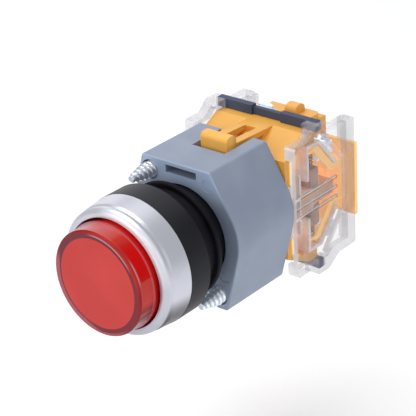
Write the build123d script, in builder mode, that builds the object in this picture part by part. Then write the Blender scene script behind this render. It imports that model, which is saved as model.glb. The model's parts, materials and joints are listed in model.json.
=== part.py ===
from build123d import *
import os

# Illuminated panel pushbutton with two contact sets, in millimetres.
# The origin is on the button's axis at the panel's front face, where the
# gasket seats. +Y points back through the panel, the button faces -Y and
# +Z points up, towards the latch arm.

os.makedirs("parts", exist_ok=True)

# Clearances
running_gap = 0.3
seat_gap = 0.1
fit_gap = 0.15
thread_gap = 0.05

# Button
travel = 3.2
button_r = 11.95
button_proud = 5.15
button_wall = 1.2
button_face_t = 1.6
button_edge = 0.35
button_skirt_l = 11.8
button_step = 0.31
button_step_lead = 1.0
diffuser_t = 1.2
flange_t = 1.5
guide_r = 9.3
guide_wall = 1.3
leg_w = 5.0
spring_wire = 0.7
spring_turns = 5.0

# Head, from the panel forwards
neck_r = 11.0
neck_bore_r = 9.6
neck_l = 14.0
gasket_t = 6.0
gasket_body_w = 1.2
gasket_lip_w = 2.4
gasket_lip_t = 1.0
gasket_lip_edge = 0.25
collar_t = 6.0
collar_wall = 1.04
collar_edge = 0.15
seat_shoulder_t = 1.0
bezel_t = 7.15
bezel_set_in = 0.05
bezel_taper = 0.4
bezel_shoulder_l = 4.3
bezel_lip_w = 1.9
bezel_lip_l = 1.4
bezel_lip_flat = 0.5
bezel_bore_edge = 0.15
bezel_cove_l = 0.8
bezel_cove_w = 0.3
spigot_step = 0.4
bezel_spigot_l = 2.4
bezel_spigot_wall = 1.0
lug_w = 5.0
lug_l = 2.0
lug_h = 1.2
lug_y = 10.5

# Lamp
holder_r = 7.4
holder_wall = 2.4
holder_front_y = -7.0
lamp_dome_r = 4.4
lamp_dome_l = 6.0
lamp_cap_l = 9.0
lamp_flange_r = 6.2
lamp_flange_t = 1.2

# Mounting base
panel_gap = 3.5
base_l = 19.5
base_rim = 0.25
base_corner_w = 2.15
base_cut_w = 3.0
base_side_over = 2.5
base_side_z = 2.2
base_side_round = 12.5
base_corner_round = 0.8
base_wall = 1.9
base_front_t = 5.0
neck_hole_gap = 0.45
slot_w = 8.5
slot_h = 1.8
slot_rim = 1.0
slot_depth = 4.0
base_edge_round = 0.35
mark_r = 1.5
mark_depth = 0.12
mark_upper = (7.2, 12.9)
mark_lower = (10.8, -7.6)
notch_w = 9.1
notch_lead = 1.9
notch_depth = 4.0
screw_angle = 55.44
screw_lip_gap = 0.3
screw_r = 1.9
screw_hole_r = 2.3
screw_boss_r = 3.1
screw_lead = 2.7
screw_tip_l = 4.4
screw_tip_r = 0.85
screw_recess_l = 3.0
screw_thread_l = 9.5
screw_head_r = 2.15
screw_head_t = 1.8
drive_slot_w = 0.7
drive_slot_d = 0.8

# Contact housing
housing_gap = 0.5
housing_l = 22.0
housing_x = 12.5
housing_front_z = 12.0
housing_top_z = 15.9
housing_edge_round = 0.4
slope_l = 7.7
brow_l = 3.2
seat_land_l = 0.6
seat_run = 6.2
seat_top_z = 12.2
seat_end_z = 5.0
column_x = 7.6
column_drop = 1.8
rear_plate_t = 1.0
rear_plate_x = 15.4
rear_plate_z = 9.0
cavity_floor_x = 8.0
cavity_front_t = 2.5
cavity_wall = 1.8
seat_notch = 0.4
spigot_wall = 2.2
spigot_l = 7.5
well_r = 9.9
well_spare = 2.0
shelf_z = 10.4
shelf_t = 0.7

# Latch arm
arm_w = 7.3
arm_t = 1.7
arm_proud = 0.4
arm_web_l = 3.5
arm_window_w = 3.1
arm_window_l = 7.2
hook_reach = 8.2
hook_l = 3.3
hook_sink = 1.8
hook_h = 4.3
hook_round = 1.2
hook_tooth_h = 1.6

# Wire guard on top of the housing, with its twin below
guard_x = 3.3
guard_w = 8.2
guard_back = 3.2
guard_l = 5.6
guard_h = 1.3
guard_round = 1.2
knob_x = 2.3
knob_w = 3.0
knob_l = 3.6
knob_h = 3.4
knob_round = 1.5
stud_w = 1.3
stud_l = 2.4
stud_lead = 1.2
stud_h = 2.1
stud_round = 0.9

# Locking bars
bar_back = 2.1
bar_t = 1.7
bar_w = 27.8
bar_h = 2.3
bar_dip_w = 8.1
bar_dip = 0.5

# Clear covers
cover_in_x = 12.65
cover_out_x = 15.5
cover_plate_t = 1.3
cover_rim_t = 1.2
cover_round = 0.7
cover_lead = 0.2
cover_z = 15.8
hump_z = 18.2
hump_front_l = 2.3
hump_front_run = 2.8
hump_rear_run = 3.7
ear_x = 11.5
ear_rear_l = 1.6
wing_x = 11.6
wing_z = 9.5
rib_w = 0.7
rib_pitch = 2.4
rib_h = 0.5
rib_l = 16.0
rib_step = 2.0
shield_w = 0.9
shield_lead = 0.6
shield_tail = 1.2
shield_top_z = 14.8
shield_end_z = 6.6
window_z = 9.5
window_h = 6.5
window_w = 1.5

# Contact mechanism, one set behind each cover
foot_lead = 0.6
foot_l = 1.0
foot_in_x = 8.2
foot_out_x = 11.6
foot_z = 2.1
neck_in_x = 9.4
neck_out_x = 11.4
neck_z = 1.2
blade_back = 4.8
blade_in_x = 8.7
blade_out_x = 13.2
blade_z = 1.6
ramp_slope = 0.3
bridge_t = 0.6
bridge_z = 7.2
bridge_in_x = 8.5
bridge_out_x = 13.2
contact_z = 5.6
contact_r = 1.1
contact_t = 0.5
contact_gap = 1.2
strip_t = 0.8
strip_in_x = 8.8
strip_out_x = 13.2
strip_end_z = 4.6
shoe_l = 3.0
shoe_in_x = 9.6
shoe_out_x = 13.2
shoe_z = 6.9
coil_wire = 0.35
coil_r = 1.05
coil_turns = 4.0
press_coil_turns = 3.0
press_coil_r = 2.1

# Terminal screws
terminal_x = 11.0
terminal_along = 0.42
terminal_head_r = 2.15
terminal_head_t = 1.5
terminal_head_edge = 0.35
head_edge_angle = 40
terminal_shank_r = 1.3
terminal_shank_l = 2.6
saddle_w = 4.2
saddle_t = 0.9
lamp_screw_x = -4.0
lamp_plate_gap = 0.2
lamp_plate_w = 5.6
lamp_plate_l = 5.6
lamp_plate_t = 0.8

# Radii and heights that follow from these
skirt_r = button_r + button_step
bezel_bore_r = skirt_r + running_gap
bezel_lip_r = bezel_bore_r + bezel_lip_w
spigot_bore_r = bezel_bore_r + spigot_step
spigot_out_r = spigot_bore_r + bezel_spigot_wall
spigot_seat_r = spigot_out_r + seat_gap
collar_r = spigot_seat_r + collar_wall
bezel_r = collar_r - bezel_set_in
bezel_shoulder_r = bezel_r - bezel_taper
gasket_body_r = neck_r + gasket_body_w
gasket_lip_r = neck_r + gasket_lip_w
screw_ring_r = gasket_lip_r + screw_lip_gap + screw_r
spigot_r = screw_ring_r - screw_boss_r - running_gap
screw_spot = Vector(screw_ring_r, 0).rotate(Axis.Z, screw_angle)
screw_x = screw_spot.X
screw_z = screw_spot.Y
base_top_z = screw_z + screw_boss_r + base_rim
base_long_x = screw_x + base_corner_w
base_short_x = base_long_x - base_cut_w
base_side_x = gasket_lip_r + base_side_over
slot_z = base_top_z - slot_rim - slot_h / 2
hook_z = base_top_z - hook_sink
arm_tip_z = base_top_z + arm_proud
column_top_z = housing_top_z - column_drop

# Stations along the axis
collar_rear_y = -gasket_t
collar_front_y = collar_rear_y - collar_t
bezel_front_y = collar_front_y - bezel_t
button_front_y = bezel_front_y - button_proud
button_back_y = button_front_y + button_skirt_l
diffuser_y = button_front_y + button_face_t
flange_y = diffuser_y + diffuser_t
shoulder_y = collar_rear_y - seat_shoulder_t
base_y = panel_gap
base_rear_y = base_y + base_l
screw_front_y = -screw_lead
hook_y = base_rear_y - hook_reach
notch_front_y = hook_y - notch_lead
housing_y = base_rear_y + housing_gap
housing_rear_y = housing_y + housing_l
brow_y = housing_y + slope_l
brow_end_y = brow_y + brow_l
seat_top_y = brow_end_y + seat_land_l
seat_end_y = seat_top_y + seat_run
arm_rear_y = brow_y - arm_web_l
bar_y = brow_y + bar_back
bar_rear_y = bar_y + bar_t
guard_y = bar_rear_y + guard_back
lamp_screw_y = bar_rear_y + lamp_plate_gap + lamp_plate_l / 2
cover_front_y = housing_y - cover_lead
cover_rear_y = housing_rear_y - seat_gap
hump_front_y = bar_y - hump_front_l
hump_rear_y = bar_rear_y
shield_top_y = seat_top_y + shield_lead
shield_end_y = seat_end_y + shield_tail
foot_y = housing_y - foot_lead
blade_y = housing_y + blade_back
blade_end_y = housing_rear_y - cavity_wall - travel - running_gap
well_l = foot_y + travel + well_spare - housing_y
bridge_y = blade_y - seat_gap - bridge_t
strip_y = bridge_y + bridge_t + 2 * contact_t + contact_gap + seat_gap
strip_z = seat_top_z + strip_t / 2 + seat_gap / 2
shoe_y = strip_y + strip_t + running_gap
ramp_end_y = shoe_y + shoe_l + seat_gap


def write(piece, name):
    piece.part.label = name
    export_step(piece.part, f"parts/{name}.step")


def mirrored(points):
    """Points of a half outline in YZ, followed by their mirror images below."""
    return points + [(y, -z) for y, z in reversed(points)]


# Bezel: a turned and plated ring with a rounded lip and a short rear spigot
with BuildPart() as bezel_ring:
    with BuildSketch(Plane.XY) as bezel_profile:
        with BuildLine():
            shoulder_front_y = collar_front_y - bezel_shoulder_l
            lip_start = (bezel_bore_r + bezel_lip_flat, bezel_front_y)
            lip_end = (bezel_lip_r, bezel_front_y + bezel_lip_l)
            cove = (bezel_shoulder_r - bezel_cove_w, shoulder_front_y - bezel_cove_l)
            shoulder_front = (bezel_shoulder_r, shoulder_front_y)
            shoulder_slope = (bezel_taper, bezel_shoulder_l)
            RadiusArc(lip_start, lip_end, -bezel_lip_l)
            Spline(lip_end, cove, shoulder_front, tangents=[(0, 1), shoulder_slope])
            Polyline(
                shoulder_front,
                (bezel_r, collar_front_y),
                (spigot_out_r, collar_front_y),
                (spigot_out_r, collar_front_y + bezel_spigot_l),
                (spigot_bore_r, collar_front_y + bezel_spigot_l),
                (bezel_bore_r, collar_front_y),
                (bezel_bore_r, bezel_front_y + bezel_bore_edge),
                (bezel_bore_r + bezel_bore_edge, bezel_front_y),
                lip_start,
            )
        make_face()
    revolve(axis=Axis.Y)
write(bezel_ring, "bezel_ring")

# Head body: collar and neck in one black moulding
with BuildPart() as head_body:
    with BuildSketch(Plane.XY) as head_profile:
        with BuildLine():
            Polyline(
                (spigot_seat_r, collar_front_y),
                (collar_r - collar_edge, collar_front_y),
                (collar_r, collar_front_y + collar_edge),
                (collar_r, collar_rear_y),
                (neck_r, collar_rear_y),
                (neck_r, neck_l),
                (neck_bore_r, neck_l),
                (neck_bore_r, shoulder_y),
                (bezel_bore_r, shoulder_y),
                (bezel_bore_r, collar_front_y + bezel_spigot_l + seat_gap),
                (spigot_seat_r, collar_front_y + bezel_spigot_l + seat_gap),
                (spigot_seat_r, collar_front_y),
            )
        make_face()
    revolve(axis=Axis.Y)
    # Two bayonet lugs, a quarter turn apart, that hold the mounting base
    with BuildSketch(Plane.XZ.offset(-lug_y)):
        with PolarLocations(neck_r, 2, start_angle=180, angular_range=90, endpoint=True):
            Rectangle(2 * lug_h, lug_w)
    extrude(amount=-lug_l)
    with BuildSketch(Plane.XZ.offset(-lug_y)):
        Circle(neck_bore_r)
    extrude(amount=-lug_l, mode=Mode.SUBTRACT)
write(head_body, "head_body")

# Gasket: a rubber sleeve behind the collar with a lip that seats on the panel
with BuildPart() as panel_gasket:
    with BuildSketch(Plane.XY):
        with BuildLine():
            Polyline(
                (neck_r + fit_gap, collar_rear_y),
                (gasket_body_r, collar_rear_y),
                (gasket_body_r, -gasket_lip_t),
                (gasket_lip_r - gasket_lip_edge, -gasket_lip_t),
                (gasket_lip_r, gasket_lip_edge - gasket_lip_t),
                (gasket_lip_r, 0),
                (neck_r + fit_gap, 0),
                (neck_r + fit_gap, collar_rear_y),
            )
        make_face()
    revolve(axis=Axis.Y)
write(panel_gasket, "panel_gasket")

# Button lens: a translucent cap with a rounded rim and a wider skirt in the bezel
with BuildPart() as button_lens:
    with BuildSketch(Plane.XY):
        with BuildLine():
            Polyline(
                (0, button_front_y),
                (button_r, button_front_y),
                (button_r, bezel_front_y - button_step_lead),
                (skirt_r, bezel_front_y - button_step_lead),
                (skirt_r, button_back_y),
                (button_r - button_wall, button_back_y),
                (button_r - button_wall, diffuser_y),
                (0, diffuser_y),
                (0, button_front_y),
            )
        make_face()
    revolve(axis=Axis.Y)
    rim_edges = button_lens.edges().filter_by(GeomType.CIRCLE).group_by(Axis.Y)[0]
    fillet(rim_edges, radius=button_edge)
write(button_lens, "button_lens")

# Diffuser: a pale disc behind the lens face
inner_r = button_r - button_wall - seat_gap
with BuildPart() as diffuser_disc:
    with BuildSketch(Plane.XZ.offset(-diffuser_y)):
        Circle(inner_r)
    extrude(amount=-diffuser_t)
write(diffuser_disc, "diffuser_disc")

# Button carrier: a flange under the diffuser, a guide tube in the neck, two legs
with BuildPart() as button_carrier:
    with BuildSketch(Plane.XY):
        with BuildLine():
            Polyline(
                (guide_r - guide_wall, flange_y),
                (inner_r, flange_y),
                (inner_r, flange_y + flange_t),
                (guide_r, flange_y + flange_t),
                (guide_r, foot_y - running_gap),
                (guide_r - guide_wall, foot_y - running_gap),
                (guide_r - guide_wall, flange_y),
            )
        make_face()
    revolve(axis=Axis.Y)
    # The tube is cut back to two legs behind the neck
    with BuildSketch(Plane.XZ.offset(-neck_l)):
        Circle(2 * guide_r)
        Rectangle(4 * guide_r, leg_w, mode=Mode.SUBTRACT)
    extrude(amount=-(foot_y - neck_l), mode=Mode.SUBTRACT)
write(button_carrier, "button_carrier")


def coil(radius, wire, turns, start, length, direction):
    """A coil spring with its wire inside the given length from the start point."""
    along = Vector(direction)
    first = Vector(start) + along * wire / 2
    rise = length - wire
    with BuildPart() as spring:
        with BuildLine() as path:
            Helix(rise / turns, rise, radius, center=first, direction=along)
        with BuildSketch(Plane(origin=path.line @ 0, z_dir=path.line % 0)):
            RegularPolygon(wire / 2, 6)
        sweep(path=path.line)
    return spring


spring_y = flange_y + flange_t + seat_gap
spring_r = guide_r + running_gap + spring_wire / 2
spring_l = shoulder_y - seat_gap - spring_y
return_spring = coil(spring_r, spring_wire, spring_turns, (0, spring_y, 0), spring_l, (0, 1, 0))
write(return_spring, "return_spring")

# Lamp: a clear dome on a metal cap, in a tubular holder
lamp_bore_r = holder_r - holder_wall
with BuildPart() as lamp_dome:
    with BuildSketch(Plane.XY):
        with BuildLine():
            dome_base_y = holder_front_y - lamp_flange_t
            dome_tip_y = dome_base_y - lamp_dome_l
            dome_wall_y = dome_tip_y + lamp_dome_r
            Line((0, dome_base_y), (lamp_dome_r, dome_base_y))
            Line((lamp_dome_r, dome_base_y), (lamp_dome_r, dome_wall_y))
            CenterArc((0, dome_wall_y), lamp_dome_r, -90, 90)
            Line((0, dome_tip_y), (0, dome_base_y))
        make_face()
    revolve(axis=Axis.Y)
write(lamp_dome, "lamp_dome")

with BuildPart() as lamp_cap:
    with BuildSketch(Plane.XZ.offset(-dome_base_y)):
        Circle(lamp_flange_r)
    extrude(amount=-lamp_flange_t)
    with BuildSketch(Plane.XZ.offset(-holder_front_y)):
        Circle(lamp_bore_r - seat_gap)
    extrude(amount=-lamp_cap_l)
write(lamp_cap, "lamp_cap")

holder_rear_y = housing_y + well_l
with BuildPart() as lamp_holder:
    with BuildSketch(Plane.XZ.offset(-holder_front_y)):
        Circle(holder_r)
        Circle(lamp_bore_r, mode=Mode.SUBTRACT)
    extrude(amount=-(holder_rear_y - holder_front_y))
write(lamp_holder, "lamp_holder")


def base_outline(inset):
    """The base's six-sided outline, the same turned half way round its axis."""
    half = [
        (-base_long_x, base_top_z),
        (base_short_x, base_top_z),
        (base_side_x, base_side_z),
    ]
    with BuildSketch() as outline:
        with BuildLine():
            Polyline(*half, *[(-x, -z) for x, z in half], close=True)
        make_face()
        side_corners = outline.vertices().sort_by(Axis.X)
        fillet([side_corners[0], side_corners[-1]], radius=base_side_round)
        corners = outline.vertices().group_by(Axis.Y)
        fillet(corners[0] + corners[-1], radius=base_corner_round)
        if inset:
            offset(amount=-inset, mode=Mode.REPLACE)
    return outline.sketch


# Mounting base: a grey moulding, hollow from the rear, on the neck's lugs
screw_spots = [(-screw_x, screw_z), (screw_x, -screw_z)]
base_plane = Plane(origin=(0, base_y, 0), x_dir=(1, 0, 0), z_dir=(0, -1, 0))
with BuildPart() as mounting_base:
    with BuildSketch(base_plane):
        add(base_outline(0))
    extrude(amount=-base_l)
    front_face = mounting_base.faces().sort_by(Axis.Y)[0]
    fillet(front_face.outer_wire().edges(), radius=base_edge_round)
    with BuildSketch(base_plane.offset(-base_front_t)):
        add(base_outline(base_wall))
        with Locations(*screw_spots):
            Circle(screw_boss_r, mode=Mode.SUBTRACT)
    extrude(amount=-(base_l - base_front_t), mode=Mode.SUBTRACT)
    with BuildSketch(base_plane):
        Circle(neck_r + neck_hole_gap)
        with Locations(*screw_spots):
            Circle(screw_r + thread_gap)
        with PolarLocations(neck_r, 2, start_angle=180, angular_range=90, endpoint=True):
            Rectangle(2 * (lug_h + running_gap), lug_w + 2 * running_gap)
    extrude(amount=-base_l, mode=Mode.SUBTRACT)
    with BuildSketch(base_plane):
        with Locations(*screw_spots):
            Circle(screw_hole_r)
    extrude(amount=-screw_recess_l, mode=Mode.SUBTRACT)
    with BuildSketch(base_plane.offset(-screw_recess_l - screw_thread_l)):
        with Locations(*screw_spots):
            Circle(screw_hole_r)
    extrude(amount=-base_l, mode=Mode.SUBTRACT)
    with BuildSketch(base_plane):
        with Locations((0, slot_z), (0, -slot_z)):
            Rectangle(slot_w, slot_h)
    extrude(amount=-slot_depth, mode=Mode.SUBTRACT)
    # Shallow round marks that the mould's ejector pins leave
    with BuildSketch(base_plane):
        with Locations(mark_upper, mark_lower):
            Circle(mark_r)
    extrude(amount=-mark_depth, mode=Mode.SUBTRACT)
    # The latch notch is open at the rear
    with BuildSketch(Plane.XY.offset(base_top_z)):
        with Locations((0, (notch_front_y + base_rear_y) / 2)):
            Rectangle(notch_w, base_rear_y - notch_front_y)
    extrude(amount=-notch_depth, mode=Mode.SUBTRACT)
write(mounting_base, "mounting_base")

# Clamp screws: pointed at the panel end, slotted at the rear
screw_shank_end_y = base_y + screw_recess_l + screw_thread_l + seat_gap
with BuildPart() as clamp_screws:
    for x, z in screw_spots:
        with BuildSketch(Plane(origin=(x, 0, z), x_dir=(1, 0, 0), z_dir=(0, 0, 1))):
            with BuildLine():
                head_end_y = screw_shank_end_y + screw_head_t
                Polyline(
                    (0, screw_front_y),
                    (screw_tip_r, screw_front_y),
                    (screw_r, screw_front_y + screw_tip_l),
                    (screw_r, screw_shank_end_y),
                    (screw_head_r, screw_shank_end_y),
                    (screw_head_r, head_end_y),
                    (0, head_end_y),
                    (0, screw_front_y),
                )
            make_face()
        revolve(axis=Axis(origin=(x, 0, z), direction=(0, 1, 0)))
        with BuildSketch(Plane.XZ.offset(-head_end_y)):
            with Locations((x, z)):
                Rectangle(drive_slot_w, 3 * screw_head_r)
        extrude(amount=drive_slot_d, mode=Mode.SUBTRACT)
write(clamp_screws, "clamp_screws")

# Contact housing: one yellow moulding with the latch arm and two side cavities
wing = [
    (housing_y, housing_front_z),
    (brow_y, housing_top_z),
    (brow_end_y, housing_top_z),
    (brow_end_y, seat_top_z),
    (seat_top_y, seat_top_z),
    (seat_end_y, seat_end_z),
    (housing_rear_y, seat_end_z),
]
cavity_front_y = housing_y + cavity_front_t
seat_out = Vector(seat_top_z - seat_end_z, seat_end_y - seat_top_y).normalized()
seat_inset = seat_out * cavity_wall
roof_z = strip_z + strip_t / 2 + seat_gap
cavity = [
    (cavity_front_y, housing_front_z - cavity_wall / 2),
    (strip_y - cavity_wall, roof_z),
    (brow_end_y + seat_gap, roof_z),
    (brow_end_y + seat_gap, seat_top_z),
    (seat_top_y - seat_inset.X + seat_notch, seat_top_z),
    (seat_top_y - seat_inset.X, seat_top_z - seat_inset.Y),
    (seat_end_y - seat_inset.X, seat_end_z - seat_inset.Y),
    (seat_end_y, seat_end_z - cavity_wall),
    (housing_rear_y - cavity_wall, seat_end_z - cavity_wall),
]


def terminal_plane(sx, sz):
    """The plane of one sloped terminal seat, at its screw, facing outwards."""
    spot = Vector(
        sx * terminal_x,
        seat_top_y + terminal_along * (seat_end_y - seat_top_y),
        sz * (seat_top_z + terminal_along * (seat_end_z - seat_top_z)),
    )
    return Plane(origin=spot, x_dir=(1, 0, 0), z_dir=(0, seat_out.X, sz * seat_out.Y))


with BuildPart() as contact_housing:
    with BuildSketch(Plane.YZ):
        with BuildLine():
            Polyline(*mirrored(wing), close=True)
        make_face()
    extrude(amount=housing_x, both=True)
    brow_edges = contact_housing.edges().filter_by(Axis.X).filter_by_position(Axis.Y, brow_y, brow_y)
    fillet(brow_edges, radius=housing_edge_round)
    # Centre column, a step lower behind the bar, to the rear
    with BuildSketch(Plane.YZ):
        with Locations(((brow_y + housing_rear_y) / 2, 0)):
            Rectangle(housing_rear_y - brow_y, 2 * column_top_z)
    extrude(amount=column_x, both=True)
    # Side cavities
    for side in (1, -1):
        with BuildSketch(Plane.YZ.offset(side * cavity_floor_x)):
            with BuildLine():
                Polyline(*mirrored(cavity), close=True)
            make_face()
        extrude(amount=side * housing_x, mode=Mode.SUBTRACT)
        # Shelves that the small coils press on
        with BuildSketch(Plane.YZ.offset(side * cavity_floor_x)):
            with Locations(*[(shoe_y + shoe_l / 2, s * (shelf_z + shelf_t / 2)) for s in (1, -1)]):
                Rectangle(shoe_l, shelf_t)
        extrude(amount=side * (housing_x - cavity_floor_x))
    # Rear plate
    with BuildSketch(Plane.XZ.offset(-housing_rear_y)):
        Rectangle(2 * rear_plate_x, 2 * rear_plate_z)
    extrude(amount=-rear_plate_t)
    # Front spigot inside the mounting base
    with BuildSketch(Plane.XZ.offset(-housing_y)):
        Circle(spigot_r)
    extrude(amount=spigot_l)
    with BuildSketch(Plane.XZ.offset(-(housing_y - spigot_l))):
        Circle(spigot_r - spigot_wall)
    extrude(amount=-spigot_l, mode=Mode.SUBTRACT)
    with BuildSketch(Plane.XZ.offset(-housing_y)):
        Circle(well_r)
    extrude(amount=-well_l, mode=Mode.SUBTRACT)
    # Slots for the plungers' feet in the front wall and the spigot
    for side in (1, -1):
        with BuildSketch(Plane.YZ.offset(side * (foot_in_x - fit_gap))):
            with Locations(((foot_y - running_gap + cavity_front_y) / 2, 0)):
                Rectangle(cavity_front_y - foot_y + running_gap, 2 * (foot_z + fit_gap))
        extrude(amount=side * housing_x, mode=Mode.SUBTRACT)
    # Latch arm: it falls towards the brow and ends in a web on the slope
    with BuildSketch(Plane.YZ):
        with BuildLine():
            Polyline(
                (hook_y + hook_l / 2, arm_tip_z - arm_t),
                (hook_y + hook_l / 2, arm_tip_z),
                (brow_y, housing_top_z),
                (brow_y, housing_front_z),
                (arm_rear_y - arm_web_l, housing_front_z),
                (arm_rear_y, arm_tip_z - arm_t),
                close=True,
            )
        make_face()
    extrude(amount=arm_w / 2, both=True)
    with BuildSketch(Plane.XY.offset(arm_tip_z)):
        with Locations((0, arm_rear_y - arm_window_l / 2)):
            Rectangle(arm_window_w, arm_window_l)
    extrude(amount=-arm_t - running_gap, mode=Mode.SUBTRACT)
    # Its hook, a rounded roll with a tooth under it
    with BuildSketch(Plane.YZ):
        with Locations((hook_y + hook_l / 2, hook_z + hook_h / 2)):
            RectangleRounded(hook_l, hook_h, hook_round)
        with Locations((hook_y + hook_l / 2, hook_z)):
            Rectangle(hook_l - 2 * hook_round, hook_tooth_h)
    extrude(amount=arm_w / 2, both=True)
    # Wire guards above and below: a plate with a roll and a lower stud beside it
    knob_y = guard_y + guard_l / 2
    knob_z = column_top_z + (knob_h - knob_round) / 2
    stud_y = guard_y - stud_lead + stud_l / 2
    stud_z = column_top_z + (stud_h - stud_round) / 2
    for turn in (1, -1):
        with BuildSketch(Plane.XY.offset(turn * column_top_z)):
            with Locations((turn * guard_x, knob_y)):
                RectangleRounded(guard_w, guard_l, guard_round)
        extrude(amount=turn * guard_h)
        with BuildSketch(Plane.YZ.offset(turn * (knob_x - knob_w / 2))):
            with Locations((knob_y, turn * knob_z)):
                RectangleRounded(knob_l, knob_h + knob_round, knob_round)
        extrude(amount=turn * knob_w)
        with BuildSketch(Plane.YZ.offset(turn * (knob_x - knob_w / 2))):
            with Locations((stud_y, turn * stud_z)):
                RectangleRounded(stud_l, stud_h + stud_round, stud_round)
        extrude(amount=-turn * stud_w)
    # Holes for the terminal screws
    for sx in (1, -1):
        for sz in (1, -1):
            with BuildSketch(terminal_plane(sx, sz)):
                Circle(terminal_shank_r + thread_gap)
            extrude(amount=-2 * cavity_wall, mode=Mode.SUBTRACT)
    for turn in (1, -1):
        with BuildSketch(Plane.XY.offset(turn * column_top_z)):
            with Locations((turn * lamp_screw_x, lamp_screw_y)):
                Circle(terminal_shank_r + thread_gap)
        extrude(amount=-turn * 2 * terminal_shank_l, mode=Mode.SUBTRACT)
write(contact_housing, "contact_housing")

# Locking bars across the housing, the middle third set back
for name, turn in (("locking_bar_top", 1), ("locking_bar_bottom", -1)):
    with BuildPart() as bar:
        with BuildSketch(Plane.XY.offset(turn * housing_top_z)):
            with Locations((0, bar_y + bar_t / 2)):
                Rectangle(bar_w, bar_t)
        extrude(amount=turn * bar_h)
        with BuildSketch(Plane.XY.offset(turn * (housing_top_z + bar_h))):
            with Locations((0, bar_y + bar_t / 2)):
                Rectangle(bar_dip_w, bar_t)
        extrude(amount=-turn * bar_dip, mode=Mode.SUBTRACT)
        with BuildSketch(Plane.XZ.offset(-bar_y)):
            with Locations((0, turn * (housing_top_z + bar_h / 2))):
                Rectangle(bar_dip_w, bar_h)
        extrude(amount=-bar_dip, mode=Mode.SUBTRACT)
    write(bar, name)

# Clear covers: shallow trays with a humped outline, slotted for the bars
cover_half = [
    (cover_front_y, cover_z),
    (hump_front_y - hump_front_run, cover_z),
    (hump_front_y, hump_z),
    (hump_rear_y, hump_z),
    (hump_rear_y + hump_rear_run, cover_z),
    (cover_rear_y, cover_z),
]
cover_plate_x = cover_out_x - cover_plate_t
ear_floor_z = housing_top_z + seat_gap
ears = [(hump_front_y, bar_y - fit_gap), (bar_rear_y + fit_gap, bar_rear_y + ear_rear_l)]


def cover_outline(inset):
    """The humped outline of a cover in YZ, with rounded corners."""
    with BuildSketch() as outline:
        with BuildLine():
            Polyline(*mirrored(cover_half), close=True)
        make_face()
        fillet(outline.vertices(), radius=cover_round)
        if inset:
            offset(amount=-inset, mode=Mode.REPLACE)
    return outline.sketch


for name, side in (("cover_right", 1), ("cover_left", -1)):
    with BuildPart() as cover:
        with BuildSketch(Plane.YZ.offset(side * cover_plate_x)):
            add(cover_outline(0))
        extrude(amount=side * cover_plate_t)
        with BuildSketch(Plane.YZ.offset(side * cover_in_x)):
            add(cover_outline(0))
            add(cover_outline(cover_rim_t), mode=Mode.SUBTRACT)
        extrude(amount=side * (cover_plate_x - cover_in_x))
        # Slots in the rim for the locking bars, and windows in the front rim
        with BuildSketch(Plane.YZ.offset(side * cover_in_x)):
            with Locations(*[(bar_y + bar_t / 2, s * (housing_top_z + hump_z) / 2) for s in (1, -1)]):
                Rectangle(bar_t + 2 * fit_gap, hump_z)
            with Locations((bar_y + bar_t / 2, 0)):
                Rectangle(bar_t + 2 * fit_gap, 2 * (cover_z - 2 * cover_rim_t), mode=Mode.SUBTRACT)
        extrude(amount=side * (cover_plate_x - cover_in_x), mode=Mode.SUBTRACT)
        with BuildSketch(Plane.XZ.offset(-cover_front_y)):
            with Locations(*[(side * (cover_in_x + window_w / 2), s * window_z) for s in (1, -1)]):
                Rectangle(window_w, window_h)
        extrude(amount=-cover_rim_t, mode=Mode.SUBTRACT)
        # Ears beside the bars over the housing, and deeper corners at the rear
        with BuildSketch(Plane.YZ.offset(side * ear_x)):
            for front, rear in ears:
                with Locations(*[((front + rear) / 2, s * (ear_floor_z + hump_z) / 2) for s in (1, -1)]):
                    Rectangle(rear - front, hump_z - ear_floor_z)
            add(cover_outline(0), mode=Mode.INTERSECT)
        extrude(amount=side * (cover_plate_x - ear_x))
        with BuildSketch(Plane.YZ.offset(side * wing_x)):
            wing_y = cover_rear_y - cover_rim_t / 2
            with Locations(*[(wing_y, s * (wing_z + cover_z - cover_round) / 2) for s in (1, -1)]):
                Rectangle(cover_rim_t, cover_z - cover_round - wing_z)
        extrude(amount=side * (cover_plate_x - wing_x))
        # Guide ribs for the plunger on the inner face
        with BuildSketch(Plane.YZ.offset(side * (cover_plate_x - rib_h))):
            rib_y = cover_front_y + cover_rim_t
            with Locations((rib_y + rib_l / 2, 0)):
                Rectangle(rib_l, rib_w)
            with Locations(*[(rib_y + (rib_l + rib_step) / 2, s * rib_pitch) for s in (1, -1)]):
                Rectangle(rib_l - rib_step, rib_w)
        extrude(amount=side * rib_h)
        # Sloped shields over the terminals
        for s in (1, -1):
            with BuildSketch(Plane.YZ.offset(side * (strip_out_x + seat_gap))):
                with BuildLine() as shield_line:
                    Line((shield_top_y, s * shield_top_z), (shield_end_y, s * shield_end_z))
                trace(line_width=shield_w)
            extrude(amount=side * (cover_plate_x - strip_out_x - seat_gap))
    write(cover, name)

# Contact sets: a plunger, a bridge with its coil, two shoes and two terminals a side
bridge_mid_x = (neck_in_x + neck_out_x) / 2
shoe_mid_x = (shoe_in_x + shoe_out_x) / 2
neck_y = foot_y + foot_l


def ramp(y):
    """Half height of the plunger's wedge at a station."""
    return blade_z + ramp_slope * max(ramp_end_y - y, 0)


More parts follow.
